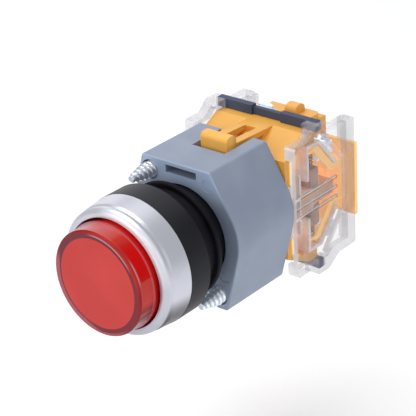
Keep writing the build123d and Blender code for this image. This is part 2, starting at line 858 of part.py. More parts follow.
for hand, side in (("right", 1), ("left", -1)):
    with BuildPart() as plunger:
        with BuildSketch(Plane.YZ.offset(side * foot_in_x)):
            with Locations((foot_y + foot_l / 2, 0)):
                Rectangle(foot_l, 2 * foot_z)
        extrude(amount=side * (foot_out_x - foot_in_x))
        with BuildSketch(Plane.YZ.offset(side * neck_in_x)):
            with Locations(((neck_y + blade_y) / 2, 0)):
                Rectangle(blade_y - neck_y, 2 * neck_z)
        extrude(amount=side * (neck_out_x - neck_in_x))
        with BuildSketch(Plane.YZ.offset(side * blade_in_x)):
            with BuildLine():
                wedge = [
                    (blade_y, ramp(blade_y)),
                    (ramp_end_y, blade_z),
                    (blade_end_y, blade_z),
                ]
                Polyline(*mirrored(wedge), close=True)
            make_face()
        extrude(amount=side * (blade_out_x - blade_in_x))
    write(plunger, f"plunger_{hand}")

    with BuildPart() as bridge:
        with BuildSketch(Plane.XZ.offset(-bridge_y)):
            with Locations((side * (bridge_in_x + bridge_out_x) / 2, 0)):
                Rectangle(bridge_out_x - bridge_in_x, 2 * bridge_z)
            with Locations((side * bridge_mid_x, 0)):
                slot = (neck_out_x - neck_in_x + 2 * fit_gap, 2 * (neck_z + fit_gap))
                Rectangle(*slot, mode=Mode.SUBTRACT)
        extrude(amount=-bridge_t)
        with BuildSketch(Plane.XZ.offset(-(bridge_y + bridge_t))):
            with Locations(*[(side * bridge_mid_x, s * contact_z) for s in (1, -1)]):
                Circle(contact_r)
        extrude(amount=-contact_t)
    write(bridge, f"bridge_{hand}")

    press_coil = coil(
        press_coil_r - coil_wire / 2,
        coil_wire,
        press_coil_turns,
        (side * bridge_mid_x, neck_y + seat_gap, 0),
        bridge_y - neck_y - 2 * seat_gap,
        (0, 1, 0),
    )
    write(press_coil, f"bridge_spring_{hand}")

    for level, s in (("upper", 1), ("lower", -1)):
        with BuildPart() as shoe:
            with BuildSketch(Plane.YZ.offset(side * shoe_in_x)):
                with BuildLine():
                    Polyline(
                        (shoe_y, s * (ramp(shoe_y) + seat_gap)),
                        (shoe_y + shoe_l, s * (ramp(shoe_y + shoe_l) + seat_gap)),
                        (shoe_y + shoe_l, s * shoe_z),
                        (shoe_y, s * shoe_z),
                        close=True,
                    )
                make_face()
            extrude(amount=side * (shoe_out_x - shoe_in_x))
        write(shoe, f"shoe_{level}_{hand}")

        shoe_coil = coil(
            coil_r,
            coil_wire,
            coil_turns,
            (side * shoe_mid_x, shoe_y + shoe_l / 2, s * (shoe_z + seat_gap)),
            shelf_z - shoe_z - 2 * seat_gap,
            (0, 0, s),
        )
        write(shoe_coil, f"shoe_spring_{level}_{hand}")

        # Terminal strip: up behind the bridge, back under the roof, down the seat
        with BuildPart() as terminal:
            with BuildSketch(Plane.YZ.offset(side * strip_in_x)):
                with BuildLine() as strip_line:
                    half = strip_t / 2
                    Polyline(
                        (strip_y + half, s * strip_end_z),
                        (strip_y + half, s * strip_z),
                        (seat_top_y + half * seat_out.X, s * strip_z),
                        (
                            seat_end_y + (half + seat_gap) * seat_out.X,
                            s * (seat_end_z + (half + seat_gap) * seat_out.Y),
                        ),
                    )
                trace(line_width=strip_t)
            extrude(amount=side * (strip_out_x - strip_in_x))
            with BuildSketch(Plane.XZ.offset(-(strip_y - contact_t))):
                with Locations((side * bridge_mid_x, s * contact_z)):
                    Circle(contact_r)
            extrude(amount=-contact_t)
            with BuildSketch(terminal_plane(side, s)):
                Circle(terminal_shank_r + thread_gap)
            extrude(amount=2 * strip_t, mode=Mode.SUBTRACT)
        write(terminal, f"terminal_{level}_{hand}")

# Terminal saddles, four alike on the sloped seats
saddle_y = strip_t + 2 * seat_gap
with BuildPart() as terminal_saddles:
    for sx in (1, -1):
        for sz in (1, -1):
            with BuildSketch(terminal_plane(sx, sz).offset(saddle_y)):
                Rectangle(saddle_w, saddle_w)
                Circle(terminal_shank_r + thread_gap, mode=Mode.SUBTRACT)
            extrude(amount=saddle_t)
write(terminal_saddles, "terminal_saddles")

# Lamp terminals: a plate and a screw above, the same below turned half round
lamp_seats = [
    Plane(
        origin=(turn * lamp_screw_x, lamp_screw_y, turn * column_top_z),
        x_dir=(1, 0, 0),
        z_dir=(0, 0, turn),
    )
    for turn in (1, -1)
]
with BuildPart() as lamp_terminals:
    for seat in lamp_seats:
        with BuildSketch(seat):
            Rectangle(lamp_plate_w, lamp_plate_l)
            Circle(terminal_shank_r + thread_gap, mode=Mode.SUBTRACT)
        extrude(amount=lamp_plate_t)
write(lamp_terminals, "lamp_terminals")

# Slotted screws, with their heads above the saddles and the lamp plates
terminal_seats = [terminal_plane(sx, sz) for sx in (1, -1) for sz in (1, -1)]
for name, seats, lift in (
    ("terminal_screws", terminal_seats, saddle_y + saddle_t),
    ("lamp_screws", lamp_seats, lamp_plate_t),
):
    with BuildPart() as screws:
        for seat in seats:
            with BuildSketch(seat.offset(lift)):
                Circle(terminal_head_r)
            extrude(amount=terminal_head_t - terminal_head_edge)
            with BuildSketch(seat.offset(lift + terminal_head_t - terminal_head_edge)):
                Circle(terminal_head_r)
            extrude(amount=terminal_head_edge, taper=head_edge_angle)
            with BuildSketch(seat.offset(lift + terminal_head_t)):
                Rectangle(3 * terminal_head_r, drive_slot_w)
            extrude(amount=-drive_slot_d, mode=Mode.SUBTRACT)
            with BuildSketch(seat.offset(lift)):
                Circle(terminal_shank_r)
            extrude(amount=-terminal_shank_l - lift)
    write(screws, name)
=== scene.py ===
import bpy
import json
import math
from mathutils import Matrix, Vector


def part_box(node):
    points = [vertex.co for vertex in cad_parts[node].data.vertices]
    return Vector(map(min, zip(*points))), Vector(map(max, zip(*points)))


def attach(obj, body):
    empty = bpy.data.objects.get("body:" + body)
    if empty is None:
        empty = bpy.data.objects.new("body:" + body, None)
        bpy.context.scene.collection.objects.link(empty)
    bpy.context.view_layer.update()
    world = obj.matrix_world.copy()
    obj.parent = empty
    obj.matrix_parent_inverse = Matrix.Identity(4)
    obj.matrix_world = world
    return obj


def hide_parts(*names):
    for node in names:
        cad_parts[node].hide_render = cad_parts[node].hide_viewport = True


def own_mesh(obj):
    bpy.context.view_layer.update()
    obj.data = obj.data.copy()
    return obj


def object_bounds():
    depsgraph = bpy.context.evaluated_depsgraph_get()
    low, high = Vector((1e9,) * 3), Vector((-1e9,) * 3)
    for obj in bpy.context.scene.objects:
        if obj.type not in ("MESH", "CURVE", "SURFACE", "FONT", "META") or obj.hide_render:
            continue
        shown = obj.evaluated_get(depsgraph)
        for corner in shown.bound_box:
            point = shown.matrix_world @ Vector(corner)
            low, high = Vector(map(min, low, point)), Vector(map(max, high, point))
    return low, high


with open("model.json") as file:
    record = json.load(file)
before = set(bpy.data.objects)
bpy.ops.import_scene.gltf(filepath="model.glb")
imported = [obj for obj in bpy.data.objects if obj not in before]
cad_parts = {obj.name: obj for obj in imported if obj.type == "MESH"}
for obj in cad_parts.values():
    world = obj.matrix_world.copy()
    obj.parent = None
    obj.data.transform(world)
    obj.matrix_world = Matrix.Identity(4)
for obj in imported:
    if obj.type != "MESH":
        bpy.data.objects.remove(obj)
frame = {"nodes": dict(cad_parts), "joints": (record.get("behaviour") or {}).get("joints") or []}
cad_box = [list(map(float, corner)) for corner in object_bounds()]
nodes = frame["nodes"]

MM = 0.001
BLACK = (0.0, 0.0, 0.0, 1.0)
WHITE = (1.0, 1.0, 1.0, 1.0)

# How near two points of a mesh are, in metres, to be one, and how near in a finer mesh
MERGE_GAP = 1e-6
FINE_GAP = 1e-7

# The pieces' sizes and stations are in millimetres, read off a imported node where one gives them.
# The button and the bezel, from the button's front back to the step in its side
BUTTON_FRONT_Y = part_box("button_lens")[0].y / MM
BUTTON_SIDE_Y = BUTTON_FRONT_Y + 0.3
BUTTON_LINE_Y = BUTTON_FRONT_Y + 0.6
WINDOW_FRONT_Y = BUTTON_FRONT_Y + 0.85
BEZEL_FRONT_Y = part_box("bezel_ring")[0].y / MM
LIP_REAR_Y = BEZEL_FRONT_Y + 0.8
STEP_Y = BEZEL_FRONT_Y - 1.0
BUTTON_STEP = 0.31
BUTTON_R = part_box("button_lens")[1].x / MM - BUTTON_STEP
RIM_W = 1.75
FACE_R = BUTTON_R - RIM_W
RIM_LINE_R = FACE_R + 0.85
LEAST_R = 0.001

# The grey base, the yellow housing, and the ribs and shields of the clear covers
BASE_FRONT_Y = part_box("mounting_base")[0].y / MM
HOOK_FRONT_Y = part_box("contact_housing")[0].y / MM
CAVITY_FLOOR_X = 8.0
CAVITY_TOP_Z = 11.2
COVER_FRONT_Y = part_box("cover_right")[0].y / MM
RIB_FACE_X = 13.7
RIB_REACH = 0.55
RIB_PITCH = 2.4
RIB_HALF_W = 0.37
RIB_MIDDLE_Y = COVER_FRONT_Y + 9.2
RIB_HALF_L = 8.0
SHIELD_MIDDLE_Y = COVER_FRONT_Y + 15.0
SHIELD_HALF_L = 4.6
SHIELD_MIDDLE_Z = 10.5
SHIELD_HALF_H = 4.0

# The clamp screws: a tapered tip, a rolled thread and a slotted head
SCREW_FRONT_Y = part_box("clamp_screws")[0].y / MM
SCREW_REAR_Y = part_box("clamp_screws")[1].y / MM
SCREW_SPOT = (-8.85, 12.85)
SCREW_R = 1.9
SCREW_TIP_R = 0.85
SCREW_TIP_L = 4.4
SCREW_HEAD_R = 2.15
SCREW_HEAD_T = 1.8
HEAD_WEAR = 0.25
HEAD_SIDES = 32
DRIVE_SLOT_W = 0.7
DRIVE_SLOT_DEPTH = 0.8
THREAD_PITCH = 1.2
THREAD_DEPTH = 0.5
THREAD_FULLNESS = 0.8
THREAD_POINTS = 8
THREAD_SIDES = 24
SCREW_SMOOTHING = math.radians(35)
SPRING_SMOOTHING = math.radians(40)

# How far each spring's low and high end shift along its axis when the button is pressed home
travels = {joint["name"]: joint["range_m"][1] / MM for joint in frame["joints"]}
BUTTON_TRAVEL = travels["button_press"]
BRIDGE_TRAVEL = travels["bridge_right_slide"]
SHOE_TRAVEL = travels["shoe_upper_right_slide"]
SPRING_ENDS = {
    "return_spring": ((0, 1, 0), BUTTON_TRAVEL, 0.0),
    "bridge_spring_right": ((0, 1, 0), BUTTON_TRAVEL, BRIDGE_TRAVEL),
    "bridge_spring_left": ((0, 1, 0), BUTTON_TRAVEL, BRIDGE_TRAVEL),
    "shoe_spring_upper_right": ((0, 0, 1), SHOE_TRAVEL, 0.0),
    "shoe_spring_upper_left": ((0, 0, 1), SHOE_TRAVEL, 0.0),
    "shoe_spring_lower_right": ((0, 0, 1), 0.0, -SHOE_TRAVEL),
    "shoe_spring_lower_left": ((0, 0, 1), 0.0, -SHOE_TRAVEL),
}

# The photograph's viewpoint: where the camera stands, how it looks and its lens
CAMERA_SPOT = Vector((217.9, -239.2, 167.0)) * MM
CAMERA_AZIMUTH = math.radians(40.97)
CAMERA_ELEVATION = math.radians(26.34)
CAMERA_ROLL = math.radians(-3.33)
CAMERA_LENS = 146.4
CAMERA_SENSOR = 36.0
CAMERA_NEAREST = 0.01

# The stage, in metres and watts: each soft box has its place, its width and its power
FLOOR_DROP = 0.042
FLOOR_W = 6.0
ROOM_TINT = (0.95, 0.97, 1.0, 1.0)
ROOM_STRENGTH = 0.45
LIT_MIDDLE = (0.0, 0.012, 0.0)
SOFT_BOXES = {
    "top_box": ((-0.10, 0.02, 0.42), 0.34, 0.92),
    "right_box": ((0.50, -0.05, 0.16), 0.30, 0.115),
    "front_box": ((-0.20, -0.49, 0.24), 0.36, 0.58),
    "high_box": ((0.22, -0.44, 0.36), 0.16, 0.14),
    "rear_box": ((-0.35, 0.34, 0.12), 0.30, 0.20),
}

# The Mix node's colour sockets go by number, because their names stand for other sockets too
MIX_SHARE, MIX_FIRST, MIX_SECOND, MIX_RESULT = 0, 6, 7, 2


def set_camera():
    """Stands the camera where the photograph was taken from."""
    bpy.ops.object.camera_add()
    camera = bpy.context.object
    camera.name = "camera"
    camera.data.lens = CAMERA_LENS
    camera.data.sensor_width = CAMERA_SENSOR
    camera.data.clip_start = CAMERA_NEAREST
    camera.matrix_world = (
        Matrix.Translation(CAMERA_SPOT)
        @ Matrix.Rotation(CAMERA_AZIMUTH, 4, "Z")
        @ Matrix.Rotation(math.pi / 2 - CAMERA_ELEVATION, 4, "X")
        @ Matrix.Rotation(CAMERA_ROLL, 4, "Z")
    )
    bpy.context.scene.camera = camera


def tone(red, green, blue):
    """A colour given as it looks on a screen, 0 to 255, as the linear colour that shaders take."""
    shares = [value / 255 for value in (red, green, blue)]
    linear = [s / 12.92 if s <= 0.04045 else ((s + 0.055) / 1.055) ** 2.4 for s in shares]
    return (*linear, 1.0)


class Value:
    """A number that varies over a surface, so that shader sums read as plain sums."""

    def __init__(self, finish, socket):
        self.finish = finish
        self.socket = socket

    def join(self, operation, first, second=0.0):
        """The value that a Math node's operation makes of one or two others."""
        made = self.finish.node("ShaderNodeMath", {"operation": operation}, {0: first, 1: second})
        return Value(self.finish, made.outputs[0])

    def __add__(self, other):
        return self.join("ADD", self, other)

    def __radd__(self, other):
        return self.join("ADD", other, self)

    def __sub__(self, other):
        return self.join("SUBTRACT", self, other)

    def __rsub__(self, other):
        return self.join("SUBTRACT", other, self)

    def __mul__(self, other):
        return self.join("MULTIPLY", self, other)

    def __rmul__(self, other):
        return self.join("MULTIPLY", other, self)

    def __truediv__(self, other):
        return self.join("DIVIDE", self, other)

    def __pow__(self, other):
        return self.join("POWER", self, other)

    def __abs__(self):
        return self.join("ABSOLUTE", self)

    def high(self, other):
        """The higher of two."""
        return self.join("MAXIMUM", self, other)

    def low(self, other):
        """The lower of two."""
        return self.join("MINIMUM", self, other)

    def sign(self):
        """-1 below nought, 1 above it."""
        return self.join("SIGN", self)

    def step(self, start, end):
        """0 before start, 1 after end, smooth between them."""
        made = self.finish.node(
            "ShaderNodeMapRange",
            {"interpolation_type": "SMOOTHSTEP"},
            {"Value": self, "From Min": start, "From Max": end},
        )
        return Value(self.finish, made.outputs["Result"])

    def band(self, middle, half, soft):
        """1 within a band about a middle, 0 outside it, with soft edges."""
        return 1 - abs(self - middle).step(half, half + soft)


class Finish:
    """A material on one Principled shader, with the places on its surface to hand."""

    def __init__(self, name, **constants):
        self.material = bpy.data.materials.new(name)
        self.material.use_nodes = True
        self.tree = self.material.node_tree
        self.shader = self.tree.nodes["Principled BSDF"]
        for socket, value in constants.items():
            self.shader.inputs[socket.replace("_", " ")].default_value = value
        self.place = self.node("ShaderNodeTexCoord").outputs["Object"]

    def feed(self, socket, value):
        """Links a value or a socket to a socket, or sets a plain number or colour on it."""
        if isinstance(value, Value):
            value = value.socket
        if isinstance(value, bpy.types.NodeSocket):
            self.tree.links.new(value, socket)
        else:
            socket.default_value = value

    def node(self, kind, settings=None, inputs=None):
        """Adds a node of a type, with its settings first and then its sockets' values or links."""
        made = self.tree.nodes.new(kind)
        for key, value in (settings or {}).items():
            setattr(made, key, value)
        for key, value in (inputs or {}).items():
            self.feed(made.inputs[key], value)
        return made

    def axes(self):
        """X, Y and Z of a point of the surface, in millimetres."""
        scaled = self.node(
            "ShaderNodeVectorMath", {"operation": "SCALE"}, {"Vector": self.place, "Scale": 1 / MM}
        )
        split = self.node("ShaderNodeSeparateXYZ", None, {"Vector": scaled.outputs["Vector"]})
        return [Value(self, split.outputs[i]) for i in range(3)]

    def facing(self):
        """X, Y and Z of the direction that a point of the surface faces."""
        turned = self.node("ShaderNodeNewGeometry").outputs["True Normal"]
        split = self.node("ShaderNodeSeparateXYZ", None, {"Vector": turned})
        return [Value(self, split.outputs[i]) for i in range(3)]

    def grain(self, size, detail=3.0, stretch=(1, 1, 1)):
        """Smooth noise from 0 to 1, with grains of a size in millimetres."""
        scaled = self.node(
            "ShaderNodeVectorMath",
            {"operation": "MULTIPLY"},
            {0: self.place, 1: [s / (size * MM) for s in stretch]},
        )
        made = self.node(
            "ShaderNodeTexNoise",
            None,
            {"Vector": scaled.outputs["Vector"], "Scale": 1.0, "Detail": detail},
        )
        return Value(self, made.outputs["Fac"])

    def blend(self, share, first, second):
        """A colour between two colours, the first where share is 0."""
        made = self.node(
            "ShaderNodeMix",
            {"data_type": "RGBA"},
            {MIX_SHARE: share, MIX_FIRST: first, MIX_SECOND: second},
        )
        return made.outputs[MIX_RESULT]

    def ramp(self, value, stops):
        """A colour that runs through stops, each a value and the colour it has there."""
        start, colour = stops[0]
        for end, following in stops[1:]:
            colour = self.blend(value.step(start, end), colour, following)
            start = end
        return colour

    def bump(self, height, depth):
        """Raises the surface by a height from 0 to 1 times a depth in millimetres."""
        made = self.node("ShaderNodeBump", None, {"Height": height, "Distance": depth * MM})
        self.feed(self.shader.inputs["Normal"], made.outputs["Normal"])

    def colour(self, value):
        """Gives the surface its colour."""
        self.feed(self.shader.inputs["Base Color"], value)

    def tint(self, share, shade):
        """Blends a shade over the linked colour that the surface has so far."""
        base = self.shader.inputs["Base Color"].links[0].from_socket
        self.colour(self.blend(share, base, shade))

    def glow(self, value):
        """Gives the surface the colour of its own weak light."""
        self.feed(self.shader.inputs["Emission Color"], value)

    def rough(self, value):
        """Gives the surface its roughness."""
        self.feed(self.shader.inputs["Roughness"], value)


def moulded(name, light, dark, roughness, grain_depth, **constants):
    """A moulded plastic: two close tones in soft clouds, under a fine eroded grain."""
    finish = Finish(name, **constants)
    clouds = finish.grain(9.0, 2.0)
    fine = finish.grain(0.35, 4.0)
    finish.colour(finish.blend(clouds.step(0.3, 0.7), dark, light))
    finish.rough(roughness + 0.10 * (fine - 0.5) + 0.08 * (clouds - 0.5))
    finish.bump(fine, grain_depth)
    return finish


def reach(first, second):
    """How far it is to a place that lies so far along two axes."""
    return (first * first + second * second) ** 0.5


def shade_lens_front(finish, radius, right, up, upper_right):
    """The front of the red cap: a milky face inside a rim of thick clear red."""
    clouds = finish.grain(12.0, 1.0)
    face = finish.blend(clouds.step(0.25, 0.75), tone(198, 64, 61), tone(208, 70, 65))
    # The rim is dark next to the face and paler outside; its colours shift round the ring as
    # painted light and shade, with a painted highlight line above
    lower_left = -0.85 * right - 0.5 * up
    inner_band = finish.blend(right.step(-0.7, 0.8), tone(112, 52, 62), tone(126, 44, 54))
    outer_band = finish.ramp(
        upper_right,
        [
            (-1.0, tone(160, 84, 90)),
            (-0.6, tone(162, 84, 90)),
            (-0.1, tone(124, 46, 54)),
            (0.2, tone(132, 42, 48)),
            (0.6, tone(150, 30, 32)),
            (0.9, tone(180, 44, 36)),
            (1.0, tone(176, 42, 36)),
        ],
    )
    outer_band = finish.blend(lower_left.step(0.5, 0.8), outer_band, tone(172, 88, 94))
    inner_edge = radius - FACE_R - 1.0 + 0.6 * lower_left.step(0.45, 0.8)
    rim = finish.blend(inner_edge.step(-0.1, 0.1), inner_band, outer_band)
    # Painted highlight: a thin light line on the rim towards its upper right
    gleam = radius.band(RIM_LINE_R, 0.08, 0.14) * upper_right.step(0.66, 0.86)
    gleam = gleam * (1 - right.step(0.74, 0.90))
    rim = finish.blend(0.68 * gleam, rim, tone(206, 164, 182))
    return finish.blend(radius.step(FACE_R - 0.05, FACE_R + 0.1), face, rim)


def shade_lens_side(finish, y, height, upper_right):
    """The side of the red cap: milky and streaked, painted lighter and darker round the cap as
    painted light and shade, with a window and two painted highlight lines.
    """
    streaks = finish.grain(1.2, 2.0, (1.0, 0.15, 1.0)).step(0.5, 0.7)
    # The milky side is painted lighter and darker round the cap, as painted light and shade
    milky = finish.ramp(
        height,
        [
            (-1.0, tone(200, 98, 98)),
            (-0.95, tone(186, 128, 136)),
            (-0.8, tone(186, 158, 166)),
            (-0.68, tone(164, 116, 126)),
            (-0.5, tone(116, 36, 40)),
            (-0.3, tone(142, 30, 34)),
            (-0.12, tone(198, 58, 54)),
            (0.25, tone(196, 62, 56)),
            (0.8, tone(186, 26, 16)),
            (0.91, tone(198, 48, 40)),
            (0.96, tone(202, 80, 76)),
            (1.0, tone(200, 98, 98)),
        ],
    )
    low_side = height.band(-0.5, 0.22, 0.15)
    milky = finish.blend(0.12 * streaks * low_side, milky, tone(210, 190, 196))
    # A window in the white guide behind the wall leaves it a deep clear red
    window = height.step(0.262, 0.290) * (1 - height.step(0.72, 0.88))
    window = window * y.step(WINDOW_FRONT_Y, WINDOW_FRONT_Y + 0.3)
    side = finish.blend(window, milky, tone(204, 3, 1))
    # A painted highlight line runs along the side's front edge, and another along the step
    front_line = y.band(BUTTON_LINE_Y, 0.12, 0.12) * upper_right.step(0.3, 0.8)
    front_line = front_line * (0.05 + 0.5 * height.band(0.44, 0.10, 0.16))
    side = finish.blend(front_line, side, tone(206, 160, 176))
    return finish.blend(0.6 * y.band(STEP_Y - 0.1, 0.05, 0.12), side, tone(226, 130, 140))


def make_lens_red():
    """The red cap: a milky face, a dark rim and a hazy side with two deep red windows, with
    painted light and shade round it and a faint painted glow.
    """
    finish = Finish(
        "lens_red",
        Coat_Weight=0.05,
        Coat_Roughness=0.05,
        IOR=1.49,
        Specular_IOR_Level=0.1,
        Emission_Strength=0.12,
    )
    x, y, z = finish.axes()
    # Right and up run from -1 to 1 round the cap, and the least radius keeps them finite
    radius = reach(x, z) + LEAST_R
    right = x / radius
    up = z / radius
    upper_right = 0.6 * right + 0.8 * up
    front = shade_lens_front(finish, radius, right, up, upper_right)
    # The side repeats half a turn on, so its height is turned over on the left
    side = shade_lens_side(finish, y, up * x.sign(), upper_right)
    # Behind the step the red is deep and dark, painted darker on the left and lower side as
    # painted shade and lighter at the upper right as painted light
    behind = finish.ramp(
        upper_right, [(-0.2, tone(106, 2, 2)), (0.4, tone(152, 1, 0)), (1.0, tone(184, 2, 0))]
    )
    behind = finish.blend(right.step(-0.4, 0.1), tone(96, 1, 0), behind)
    side = finish.blend(y.step(STEP_Y - 0.02, STEP_Y + 0.1), side, behind)
    shown = finish.blend(y.step(BUTTON_SIDE_Y, BUTTON_SIDE_Y + 0.12), front, side)
    finish.colour(shown)
    # The cap gives off a faint painted glow in its own colours
    finish.glow(shown)
    finish.rough(0.16 + 0.05 * finish.grain(2.5))
    finish.bump(finish.grain(0.8), 0.002)
    return finish


def make_silver():
    """Satin plating on the bezel: faintly turned, with a painted white highlight glowing on its
    lip and painted shade at its lower right.
    """
    finish = Finish("satin_silver", Metallic=0.6, Emission_Strength=0.25)
    turned = finish.grain(0.5, 3.0, (0.1, 4.0, 0.1))
    clouds = finish.grain(6.0, 2.0)
    x, y, z = finish.axes()
    bright = (0.6 * x + 0.8 * z) / BUTTON_R + 0.3 * (clouds - 0.5)
    behind = y.step(LIP_REAR_Y, LIP_REAR_Y + 0.8)
    # Painted highlight: the lip glows white towards its upper right
    lip = (1 - behind) * bright.step(0.62, 1.1)
    finish.glow(finish.blend(lip, BLACK, WHITE))
    # The cone is painted dark at its lower right as a painted reflection of the dark room, the
    # whole cone a little dimmer, and the lip dimmer towards its lower right, as painted shade
    lower_right = (0.75 * x - 0.66 * z) / reach(x, z)
    shaded = 0.92 * behind * lower_right.step(0.84, 1.02)
    painted_dim_share = (0.05 * behind).high(0.17 * (1 - behind) * lower_right.step(0.2, 0.7))
    # The plate is painted lighter towards the upper right, as painted light
    plate = finish.blend(bright.step(-1.0, 0.7), tone(190, 191, 201), tone(222, 223, 233))
    finish.colour(finish.blend(shaded.high(painted_dim_share), plate, tone(22, 22, 28)))
    finish.rough(0.34 + 0.04 * (turned - 0.5) + 0.03 * (clouds - 0.5))
    finish.bump(turned, 0.002)
    return finish


def make_zinc():
    """Bright zinc plate with a faint blue cast and a faint painted glow, painted dark in the
    grooves of the screws' threads as painted shade.
    """
    finish = Finish(
        "bright_zinc", Metallic=0.95, Emission_Strength=0.12, Emission_Color=tone(214, 226, 244)
    )
    x, y, z = finish.axes()
    spots = finish.grain(0.9, 4.0)
    plate = finish.blend(spots.step(0.35, 0.7), tone(228, 235, 245), tone(250, 252, 255))
    # A groove is where the surface lies well inside the thread's crest
    off_x = abs(x) - abs(SCREW_SPOT[0])
    off_z = abs(z) - SCREW_SPOT[1]
    tapered = ((y - SCREW_FRONT_Y) / SCREW_TIP_L).low(1.0)
    crest = SCREW_TIP_R + (SCREW_R - SCREW_TIP_R) * tapered
    groove = 1 - (reach(off_x, off_z) / crest).step(0.76, 0.92)
    head_y = SCREW_REAR_Y - SCREW_HEAD_T
    groove = groove * (1 - y.step(head_y, head_y + 0.1))
    # Painted shade: the thread grooves are painted darker
    finish.colour(finish.blend(0.6 * groove, plate, tone(104, 110, 122)))
    finish.rough(0.19 + 0.12 * spots + 0.12 * groove)
    finish.bump(finish.grain(0.2), 0.003)
    return finish


def make_clear():
    """Clear styrene: a faint haze on the flats, grey-white where it is seen edge on, with a faint
    painted glow in its haze colours.
    """
    finish = Finish(
        "clear_styrene", Coat_Weight=0.3, Coat_Roughness=0.04, IOR=1.55, Emission_Strength=0.3
    )
    x, y, z = finish.axes()
    out, height = abs(x), abs(z)
    edge = 1 - abs(finish.facing()[0]).step(0.3, 0.7)
    flow = finish.grain(4.0, 3.0, (1.0, 1.0, 0.35))
    frost = finish.grain(1.5, 4.0, (1.0, 1.0, 0.45)).step(0.52, 0.66)
    front = 1 - y.step(COVER_FRONT_Y + 0.2, COVER_FRONT_Y + 0.4)
    # The guide ribs and the sloped shields stand inside the plate and are painted pale as painted
    # highlights
    inside = out.band(RIB_FACE_X, RIB_REACH, 0.02)
    ribs = height.band(0.0, RIB_HALF_W, 0.02) + height.band(RIB_PITCH, RIB_HALF_W, 0.02)
    ribs = ribs * inside * y.band(RIB_MIDDLE_Y, RIB_HALF_L, 0.1)
    shields = inside * edge * height.band(SHIELD_MIDDLE_Z, SHIELD_HALF_H, 0.2)
    shields = shields * y.band(SHIELD_MIDDLE_Y, SHIELD_HALF_L, 0.2)
    shade = finish.blend(flow.step(0.35, 0.65), tone(136, 134, 142), tone(168, 166, 174))
    light = (0.5 * frost).high(0.85 * front).high(0.9 * ribs * (1 - edge)).high(0.7 * shields)
    haze = finish.blend(light, shade, tone(226, 222, 224))
    # Painted shade: the ribs' sides are painted dark
    haze = finish.blend(ribs * edge, haze, tone(96, 88, 88))
    finish.colour(haze)
    # The haze also gives off a faint painted glow
    finish.glow(haze)
    finish.rough(0.08 + 0.10 * flow)
    veil = (0.12 + 0.10 * frost).high(0.62 * ribs)
    border = (0.24 + 0.24 * flow + 0.33 * front).high(0.66 * shields).high(0.5 * ribs)
    finish.feed(finish.shader.inputs["Alpha"], veil + (border - veil) * edge)
    finish.bump(finish.grain(1.6, 2.0), 0.006)
    return finish


def make_metal(name, light, dark, roughness, share=0.9, glow=0.0):
    """A bare or plated sheet metal with fine rolling lines and dull patches, and a faint painted
    glow in its light tone where glow is set.
    """
    finish = Finish(name, Metallic=share, Emission_Strength=glow, Emission_Color=light)
    patches = finish.grain(1.8, 3.0)
    lines = finish.grain(0.6, 3.0, (0.2, 5.0, 5.0))
    finish.colour(finish.blend(patches.step(0.3, 0.7), dark, light))
    finish.rough(roughness + 0.14 * (patches - 0.5) + 0.06 * (lines - 0.5))
    finish.bump(lines, 0.003)
    return finish


def make_yellow():
    """The yellow moulding, with painted light glowing in its side cavities and on its latch hook.
    """
    finish = moulded(
        "yellow_moulding",
        tone(255, 190, 88),
        tone(250, 180, 72),
        0.38,
        0.006,
        Emission_Strength=0.92,
    )
    x, y, z = finish.axes()
    rearward = finish.facing()[1]
    # Painted light: the cavity floors and walls glow, twice as strongly towards the front
    painted_cavity_light = abs(x).step(CAVITY_FLOOR_X - 0.25, CAVITY_FLOOR_X - 0.05)
    painted_cavity_light = painted_cavity_light * (1 - abs(z).step(CAVITY_TOP_Z, CAVITY_TOP_Z + 0.6))
    painted_cavity_light = painted_cavity_light * (1 - rearward.step(0.3, 0.7))
    painted_cavity_light = painted_cavity_light * y.step(COVER_FRONT_Y + 1.4, COVER_FRONT_Y + 2.4)
    painted_cavity_light = painted_cavity_light * (2.0 - y.step(COVER_FRONT_Y + 4.0, COVER_FRONT_Y + 10.0))
    # Painted light: the latch hook's front glows too
    hook = 1 - y.step(HOOK_FRONT_Y + 1.5, HOOK_FRONT_Y + 4.0)
    light = painted_cavity_light.high(0.45 * hook)
    finish.glow(
        finish.ramp(light, [(0.0, BLACK), (1.0, tone(158, 124, 70)), (2.0, tone(250, 208, 130))])
    )
    # The cavities are painted paler as well, as painted light
    finish.tint(0.5 * painted_cavity_light, tone(255, 210, 136))
    return finish


def make_black():
    """The charcoal head moulding, painted greyer on top as painted light."""
    finish = moulded(
        "charcoal_moulding",
        tone(32, 32, 38),
        tone(25, 25, 30),
        0.42,
        0.010,
        Specular_IOR_Level=0.18,
    )
    height = finish.axes()[2]
    # Painted light: the top is painted greyer
    finish.tint(0.7 * height.step(9.0, 15.0), tone(58, 58, 64))
    return finish


def make_grey():
    """The blue-grey base, with painted shade on its front face right of the collar and painted
    light above it.
    """
    finish = moulded(
        "grey_moulding",
        tone(157, 168, 187),
        tone(148, 159, 179),
        0.46,
        0.008,
        Specular_IOR_Level=0.4,
    )
    x, y, z = finish.axes()
    front = 1 - y.step(BASE_FRONT_Y + 0.1, BASE_FRONT_Y + 0.3)
    # Painted shade on the front face to the right of the collar, less of it far up or down
    painted_shade_share = front * x.step(5.0, 11.0) * (1 - 0.6 * abs(z).step(5.0, 12.0))
    finish.tint(painted_shade_share, tone(126, 137, 156))
    # Painted light on the front face above the collar
    finish.tint(front * z.step(8.0, 14.0), tone(176, 194, 222))
    return finish


